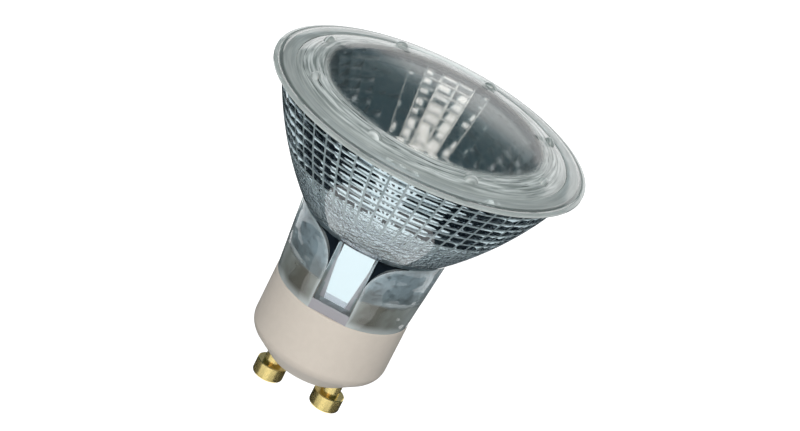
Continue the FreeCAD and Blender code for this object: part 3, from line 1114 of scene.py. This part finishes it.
        # The corners of a cube of this size are at plus and minus 1
        bmesh.ops.create_cube(bm, size=2.0)
        for vert in bm.verts:
            level = self.bowl_foot if vert.co.z > 0 else self.neck_foot
            depth = self.rib_depth(level) if vert.co.y < 0 else self.tool_reach
            vert.co = Vector((vert.co.x * self.rib_width / 2, facing.value * depth, level)) * MM
        return bm

    def pocket_tool(self, facing: Facing, side: Side) -> Mesh:
        """Make the tool of a rounded pocket beside a rib.

        Args:
            facing: Face of the neck.
            side: Side of the rib.

        Returns:
            The tool's mesh.
        """
        near = self.rib_width / 2
        corner = (near + self.pocket_size, self.bowl_foot)
        tip = (near, self.bowl_foot - self.pocket_size)
        outline = [(near, self.bowl_foot), *arc(corner, tip, self.pocket_size, self.pocket_steps)]
        far = facing.value * self.tool_reach * MM
        bm = bmesh.new()
        face = bm.faces.new([bm.verts.new((side.value * x * MM, far, z * MM)) for x, z in outline])
        pushed = bmesh.ops.extrude_face_region(bm, geom=[face])
        for vert in [item for item in pushed["geom"] if isinstance(item, bmesh.types.BMVert)]:
            vert.co.y = facing.value * self.pocket_floor(vert.co.z / MM) * MM
        return bm

    def build(self) -> list[Object]:
        """Make the reflector.

        Returns:
            Its one piece.
        """
        glass = self.blank()
        for facing in Facing:
            carve(glass, self.rib_tool(facing), Carving.CUT)
            for side in Side:
                carve(glass, self.pocket_tool(facing, side), Carving.CUT)
        mend(glass, self.mend_gap)
        smooth(glass, self.smooth_angle)
        return [join_lamp(glass, "reflector")]

    def dress(self, pieces: list[Object]) -> None:
        """Give the glass and its film their finishes.

        Args:
            pieces: The reflector.
        """
        glass = pieces[0].data
        for coat in Coat:
            glass.materials.append(coat.value.material())
        # Pocket floors beside the ribs get the near-black painted shade
        for face in glass.polygons:
            across, depth, level = abs(face.center.x) / MM, abs(face.center.y) / MM, face.center.z / MM
            beside = self.rib_width / 2 < across < self.rib_width / 2 + self.pocket_size
            below = self.bowl_foot - self.pocket_size < level < self.bowl_foot
            if beside and below and abs(depth - self.pocket_floor(level)) < self.slack:
                face.material_index = Coat.POCKET.index()


@dataclass
class FrontGlass(Assembly):
    """Clear pressed front glass with a sloped border and moulded bumps."""

    finish: ClassVar[Finish] = COVER_GLASS
    foot: float = 45.05
    radius: float = 22.18
    edge_height: float = 1.0
    window_radius: float = 19.4
    window_level: float = 47.2
    crown: float = 620.0
    crown_steps: int = 6
    bump_count: int = 8
    bump_phase: float = 31.0
    bump_reach: float = 19.8
    bump_half: Spot = (0.9, 1.25, 1.0)
    bump_sink: float = 0.5
    bump_columns: int = 24
    bump_rows: int = 16
    edge_round: float = 0.2
    edge_steps: int = 3
    edge_angle: float = 25.0
    steps: int = 144
    smooth_angle: float = 30.0

    def disc(self) -> Object:
        """Make the glass without its bumps.

        Returns:
            The disc.
        """
        window, seat = (self.window_radius, self.window_level), (self.window_radius, self.foot)
        rise = self.window_radius**2 / (2 * self.crown)
        top, under = (0.0, self.window_level + rise), (0.0, self.foot + rise)
        profile = [
            *arc(under, seat, -self.crown, self.crown_steps),
            (self.radius, self.foot),
            (self.radius, self.foot + self.edge_height),
            *arc(window, top, self.crown, self.crown_steps),
        ]
        bm = bmesh.new()
        turn(bm, profile, self.steps)
        return new_object("front_glass_cover", bm)

    def bumps(self) -> Mesh:
        """Make the moulded bumps.

        Returns:
            Their mesh.
        """
        spot = Vector((self.bump_reach, 0.0, self.window_level - self.bump_sink)) * MM
        shape = Matrix.Translation(spot) @ Matrix.Diagonal((*self.bump_half, 1.0))
        bm = bmesh.new()
        for index in range(self.bump_count):
            angle = math.radians(self.bump_phase + FULL_TURN * index / self.bump_count)
            bmesh.ops.create_uvsphere(
                bm,
                u_segments=self.bump_columns,
                v_segments=self.bump_rows,
                radius=MM,
                matrix=Matrix.Rotation(angle, 4, "Z") @ shape,
            )
        return bm

    def build(self) -> list[Object]:
        """Make the front glass.

        Returns:
            Its one piece.
        """
        glass = self.disc()
        soften(glass, self.edge_round, self.edge_angle, self.edge_steps)
        carve(glass, self.bumps(), Carving.JOIN)
        smooth(glass, self.smooth_angle)
        return [join_lamp(glass, "front_glass")]


@dataclass
class CeramicBase(Assembly):
    """Ceramic cup with a tapered end and rounded edges."""

    finish: ClassVar[Finish] = CERAMIC
    radius: float = 11.1
    height: float = 13.5
    end_radius: float = 6.8
    taper_height: float = 3.0
    taper_radius: float = 10.35
    shoulder_height: float = 1.7
    shoulder_radius: float = 2.6
    shoulder_steps: int = 6
    bore_radius: float = 9.0
    floor: float = 5.0
    edge_round: float = 0.35
    edge_steps: int = 4
    edge_angle: float = 20.0
    steps: int = 128
    smooth_angle: float = 40.0

    def build(self) -> list[Object]:
        """Make the cup.

        Returns:
            Its one piece.
        """
        taper = (self.taper_radius, self.taper_height)
        shoulder = (self.radius, self.taper_height + self.shoulder_height)
        profile = [
            (0.0, 0.0),
            (self.end_radius, 0.0),
            *arc(taper, shoulder, self.shoulder_radius, self.shoulder_steps),
            (self.radius, self.height),
            (self.bore_radius, self.height),
            (self.bore_radius, self.floor),
            (0.0, self.floor),
        ]
        bm = bmesh.new()
        turn(bm, profile, self.steps)
        cup = new_object("ceramic_cup", bm)
        soften(cup, self.edge_round, self.edge_angle, self.edge_steps)
        smooth(cup, self.smooth_angle)
        return [join_lamp(cup, "ceramic_base")]


@dataclass
class ContactPins(Assembly):
    """Two headed brass pins."""

    finish: ClassVar[Finish] = BRASS
    spacing: float = 10.0
    head_radius: float = 2.5
    head_height: float = 2.6
    head_chamfer: float = 0.12
    shank_radius: float = 1.5
    shank_length: float = 2.9
    edge_round: float = 0.45
    edge_steps: int = 5
    floor: float = 5.0
    rivet_radius: float = 2.2
    rivet_height: float = 0.6
    bore_radius: float = 0.4
    steps: int = 64
    smooth_angle: float = 35.0

    def build(self) -> list[Object]:
        """Make both pins.

        Returns:
            The pins.
        """
        foot = -(self.shank_length + self.head_height)
        low = (self.head_radius - self.edge_round, foot)
        high = (self.head_radius, foot + self.edge_round)
        rivet = self.floor + self.rivet_height
        profile = [
            (0.0, foot),
            *arc(low, high, self.edge_round, self.edge_steps),
            (self.head_radius, -self.shank_length - self.head_chamfer),
            (self.head_radius - self.head_chamfer, -self.shank_length),
            (self.shank_radius, -self.shank_length),
            (self.shank_radius, self.floor),
            (self.rivet_radius, self.floor),
            (self.shank_radius, rivet),
            (self.bore_radius, rivet),
            (self.bore_radius, -self.shank_length),
            (0.0, -self.shank_length),
        ]
        made = []
        for side in Side:
            bm = bmesh.new()
            turn(bm, profile, self.steps)
            bmesh.ops.translate(bm, verts=bm.verts, vec=(side.value * self.spacing / 2 * MM, 0.0, 0.0))
            pin = new_object(f"brass_pin_{side.name.lower()}", bm)
            smooth(pin, self.smooth_angle)
            made.append(join_lamp(pin, f"contact_pin_{side.name.lower()}"))
        return made


@dataclass
class Filament(Assembly):
    """Tungsten wire coiled along two legs and the bend between them."""

    finish: ClassVar[Finish] = TUNGSTEN
    coil_radius: float = 0.45
    wire_radius: float = 0.07
    wire_resolution: int = 1
    pitch: float = 0.24
    steps: int = 14
    weld: float = 0.0007
    smooth_angle: float = 60.0

    def spine(self, half: float, foot: float, leg: float, distance: float) -> tuple[Vector, Vector]:
        """Find a point of the coil's own axis and the way out of its bend.

        Args:
            half: Half of the space between the legs.
            foot: Height of the legs' lower ends.
            leg: Length of a leg.
            distance: Way along the axis from the foot of the left leg.

        Returns:
            The point and a unit vector in the plane of the legs.
        """
        past = min(max(distance - leg, 0.0), math.pi * half)
        out = Vector((-math.cos(past / half), 0.0, math.sin(past / half)))
        short = max(leg - distance, 0.0) + max(distance - leg - math.pi * half, 0.0)
        return out * half + Vector((0.0, 0.0, foot + leg - short)), out

    def wire(self) -> bpy.types.Curve:
        """Draw the coil inside the form that the CAD filament has.

        Returns:
            A curve with the wire's thickness.
        """
        low, high = [Vector(corner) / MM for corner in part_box("filament")]
        half = high.x - self.coil_radius
        leg = high.z - self.coil_radius - half - low.z
        length = 2 * leg + math.pi * half
        count = round(length / self.pitch * self.steps)
        curve = bpy.data.curves.new("filament_coil", "CURVE")
        curve.dimensions = "3D"
        curve.bevel_depth = self.wire_radius * MM
        curve.bevel_resolution = self.wire_resolution
        curve.use_fill_caps = True
        spline = curve.splines.new("POLY")
        spline.points.add(count)
        for index, point in enumerate(spline.points):
            distance = length * index / count
            centre, out = self.spine(half, low.z, leg, distance)
            angle = math.tau * distance / self.pitch
            spoke = out * math.cos(angle) + Vector((0.0, math.sin(angle), 0.0))
            point.co = (*((centre + spoke * (self.coil_radius - self.wire_radius)) * MM), 1.0)
        return curve

    def build(self) -> list[Object]:
        """Make the coil.

        Returns:
            Its one piece.
        """
        curve = self.wire()
        helper = bpy.data.objects.new("filament_wire", curve)
        bm = bmesh.new()
        bm.from_mesh(helper.to_mesh())
        helper.to_mesh_clear()
        bpy.data.objects.remove(helper)
        bpy.data.curves.remove(curve)
        bmesh.ops.remove_doubles(bm, verts=bm.verts, dist=self.weld * MM)
        coil = new_object("filament_coil", bm)
        smooth(coil, self.smooth_angle)
        return [join_lamp(coil, "filament")]


# CAD nodes that keep their own mesh
INNER_FINISHES: dict[str, Finish] = {
    "rim_seal": SEALANT,
    "capsule": QUARTZ,
    "filament_support": MOLYBDENUM,
    "inner_lead_left": MOLYBDENUM,
    "inner_lead_right": MOLYBDENUM,
    "seal_foil_left": MOLYBDENUM,
    "seal_foil_right": MOLYBDENUM,
    "outer_lead_left": NICKEL,
    "outer_lead_right": NICKEL,
    "capsule_cement": CEMENT,
    "base_cement": CEMENT,
}


@dataclass
class InnerParts(Assembly):
    """CAD nodes that stay as they are, with their finishes."""

    nodes: dict[str, Object]

    def build(self) -> list[Object]:
        """Return the nodes that keep their CAD mesh."""
        return [self.nodes[name] for name in INNER_FINISHES]

    def dress(self, pieces: list[Object]) -> None:
        """Give each node its finish.

        Args:
            pieces: The nodes.
        """
        for piece in pieces:
            piece.data.materials.clear()
            piece.data.materials.append(INNER_FINISHES[piece.name].material())


@dataclass(frozen=True)
class StudioWhite(Finish):
    """Floor sweep: white to the eye, and it still takes a soft shadow."""

    glow: float = 0.95
    colour: str = "#B4B4B4"

    def surface(self, add: Add) -> Socket:
        """Build a lit matt floor; its glow is seen but lights nothing, and it is clear from below.

        Args:
            add: Adds a node to the material.

        Returns:
            The shader.
        """
        spread = add("LightPath").node.outputs["Is Diffuse Ray"]
        glow = add("Emission", WHITE, add("Mix", spread, self.glow, 0.0))
        lit = add("AddShader", glow, add("BsdfDiffuse", self.colour))
        below = add("NewGeometry").node.outputs["Backfacing"]
        return add("MixShader", below, lit, add("BsdfTransparent"))


@dataclass(frozen=True)
class BlackCard(Finish):
    """Studio card that glass and metal show as a dark field."""

    colour: str = "#0D1319"

    def surface(self, add: Add) -> Socket:
        """Build a steady dark tone, whatever the lamps do, and return its output."""
        return add("Emission", self.colour, 1.0)


# The floor is white to the eye and takes a soft shadow
SWEEP_PAINT = StudioWhite("studio_sweep_painted")
# The card gives the glass and the mirror their dark fields
CARD_BLACK = BlackCard("black_card_matt")


@dataclass(frozen=True)
class Softbox:
    """A lamp that lights matt surfaces and doesn't show in mirrors."""

    name: str
    spot: Spot
    size: float
    watts: float

    def hang(self, target: Spot) -> None:
        """Hang the lamp.

        Args:
            target: Point that it shines on.
        """
        light = bpy.data.lights.new(self.name, "AREA")
        light.shape = "DISK"
        light.size = self.size * MM
        light.energy = self.watts
        obj = bpy.data.objects.new(self.name, light)
        bpy.context.scene.collection.objects.link(obj)
        obj.location = Vector(self.spot) * MM
        aim = Vector(target) * MM - obj.location
        obj.rotation_euler = aim.to_track_quat("-Z", "Y").to_euler()
        obj.visible_glossy = False
        obj.visible_transmission = False


@dataclass
class Studio:
    """Floor, card, world, lamps and camera."""

    floor_level: float = -60.0
    floor_radius: float = 900.0
    floor_steps: int = 64
    card_lift: float = 1.0
    card_inner: float = 48.0
    card_steps: int = 24
    card_middle: float = -90.0
    # Outer radius of each sector, and the angles from the middle where it starts and ends
    card_sectors: tuple[tuple[float, float, float], ...] = (
        (95.0, 4.0, 11.0),
        (100.0, 18.0, 60.0),
        (150.0, 60.0, 140.0),
        (320.0, 140.0, 168.0),
    )
    softboxes: tuple[Softbox, ...] = (
        Softbox("key_softbox", (-5.0, -430.0, 260.0), size=200.0, watts=1.65),
        Softbox("fill_softbox", (320.0, -160.0, 320.0), size=300.0, watts=0.2),
        Softbox("back_softbox", (-120.0, 430.0, 300.0), size=300.0, watts=0.9),
    )
    azimuth: float = 3.8316
    elevation: float = 23.8602
    distance: float = 459.87
    target: Spot = (0.0, 0.0, 29.2)
    shift_right: float = 2.39
    shift_up: float = -0.1202
    roll: float = 26.8017
    lens: float = 136.82
    clip_start: float = 10.0
    # In the surroundings, ways across are in radians and heights are those of a unit vector
    horizon_span: Span = (0.39, 0.35)
    horizon_lean: float = 0.4
    wall: float = 1.35
    wall_span: Span = (1.0, 0.7)
    low_span: Span = (-0.08, -0.12)
    ceiling: float = 0.1
    ceiling_colour: str = "#BFE9FB"
    window: float = 2.6
    window_colour: str = "#FFE0DA"
    window_across: Span = (0.42, 0.32)
    window_rise: Span = (0.46, 0.52)
    ambient: float = 0.24
    neutral: float = 0.5

    def sweep(self) -> None:
        """Make the floor."""
        bm = bmesh.new()
        bmesh.ops.create_circle(
            bm,
            cap_ends=True,
            segments=self.floor_steps,
            radius=self.floor_radius * MM,
            matrix=Matrix.Translation((0, 0, self.floor_level * MM)),
        )
        floor = new_object("floor_sweep", bm)
        floor.data.materials.append(SWEEP_PAINT.material())

    def card(self) -> None:
        """Make the dark ring that lies on the floor and shows only in glass and metal."""
        bm = bmesh.new()
        level = self.floor_level + self.card_lift
        for outer, first, last in self.card_sectors:
            strip = [(self.card_inner, level), (outer, level)]
            for start in (self.card_middle + first, self.card_middle - last):
                turn(bm, strip, self.card_steps, start=start, sweep=last - first)
        card = new_object("black_card_ring", bm)
        card.data.materials.append(CARD_BLACK.material())
        card.visible_camera = False
        card.visible_diffuse = False
        card.visible_shadow = False

    def world(self) -> None:
        """Make the surroundings: white to the eye, a white horizon and a dark ceiling in glass and metal."""
        made = bpy.data.worlds.new("studio")
        bpy.context.scene.world = made
        made.use_nodes = True
        made.node_tree.nodes.clear()
        add = partial(add_node, made.node_tree)
        ends = add("SeparateXYZ", add("TexCoord").node.outputs["Generated"]).node.outputs
        height = ends["Z"]
        leaning = add("Math.MULTIPLY_ADD", ends["X"], -self.horizon_lean, height)
        below = add("MapRange", leaning, *self.horizon_span, **SMOOTH)
        aside = add("Math.ABSOLUTE", add("Math.ARCTAN2", ends["X"], ends["Y"]))
        behind = add("MapRange", aside, *self.wall_span, **SMOOTH)
        low = add("MapRange", height, *self.low_span, **SMOOTH)
        wall = add("Math.MULTIPLY", below, add("Math.MAXIMUM", behind, low))
        room = add("Mix", wall, self.ceiling, self.wall)
        ahead = add("Math.MULTIPLY", ends["Y"], -1.0)
        aside = add("Math.ABSOLUTE", add("Math.ARCTAN2", ends["X"], ahead))
        window = add("MapRange", aside, *self.window_across, **SMOOTH)
        above = add("MapRange", height, *self.window_rise, **SMOOTH)
        window = add("Math.MULTIPLY", window, above)
        seen = add("Math.MULTIPLY_ADD", window, self.window, room)
        path = add("LightPath").node.outputs
        spread = path["Is Diffuse Ray"]
        shown = add("Mix", spread, seen, self.ambient)
        strength = add("Mix", path["Is Camera Ray"], shown, 1.0)
        lit = add("MapRange", strength, self.ceiling, 1.0, **SMOOTH)
        lit = add("Math.MAXIMUM", lit, add("Math.MULTIPLY", spread, self.neutral))
        cool = add("Mix", lit, self.ceiling_colour, WHITE, **COLOUR)
        warm = add("Mix", spread, window, 0.0)
        colour = add("Mix", warm, cool, self.window_colour, **COLOUR)
        add("OutputWorld", add("Background", colour, strength))

    def camera(self) -> None:
        """Set the camera as the photograph was taken, leaning with it."""
        aside, rise, lean = [math.radians(angle) for angle in (self.azimuth, self.elevation, self.roll)]
        back = Vector((math.sin(aside) * math.cos(rise), -math.cos(aside) * math.cos(rise), math.sin(rise)))
        right = Vector((math.cos(aside), math.sin(aside), 0.0))
        up = back.cross(right)
        target = Vector(self.target)
        eye = target + back * self.distance
        ahead = (target + right * self.shift_right + up * self.shift_up - eye).normalized()
        level = ahead.cross(Vector((0.0, 0.0, 1.0))).normalized()
        head = level.cross(ahead)
        x_axis = level * math.cos(lean) + head * math.sin(lean)
        y_axis = head * math.cos(lean) - level * math.sin(lean)
        matrix = Matrix((x_axis, y_axis, -ahead)).transposed().to_4x4()
        matrix.translation = eye * MM
        data = bpy.data.cameras.new("camera")
        data.lens = self.lens
        data.clip_start = self.clip_start * MM
        camera = bpy.data.objects.new("camera", data)
        bpy.context.scene.collection.objects.link(camera)
        camera.matrix_world = matrix
        bpy.context.scene.camera = camera

    def build(self) -> None:
        """Set up everything round the lamp."""
        bpy.context.scene.view_settings.view_transform = "Standard"
        self.sweep()
        self.card()
        self.world()
        for softbox in self.softboxes:
            softbox.hang(self.target)
        self.camera()


def main() -> None:
    """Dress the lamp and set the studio."""
    logging.basicConfig(level=logging.INFO, format="%(name)s: %(message)s")
    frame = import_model()
    lamp = (Reflector(), FrontGlass(), CeramicBase(), ContactPins(), Filament(), InnerParts(frame["nodes"]))
    for assembly in lamp:
        pieces = assembly.build()
        assembly.dress(pieces)
        for piece in pieces:
            LOG.info("%s: %d faces", piece.name, len(piece.data.polygons))
    Studio().build()


if __name__ == "__main__":
    main()
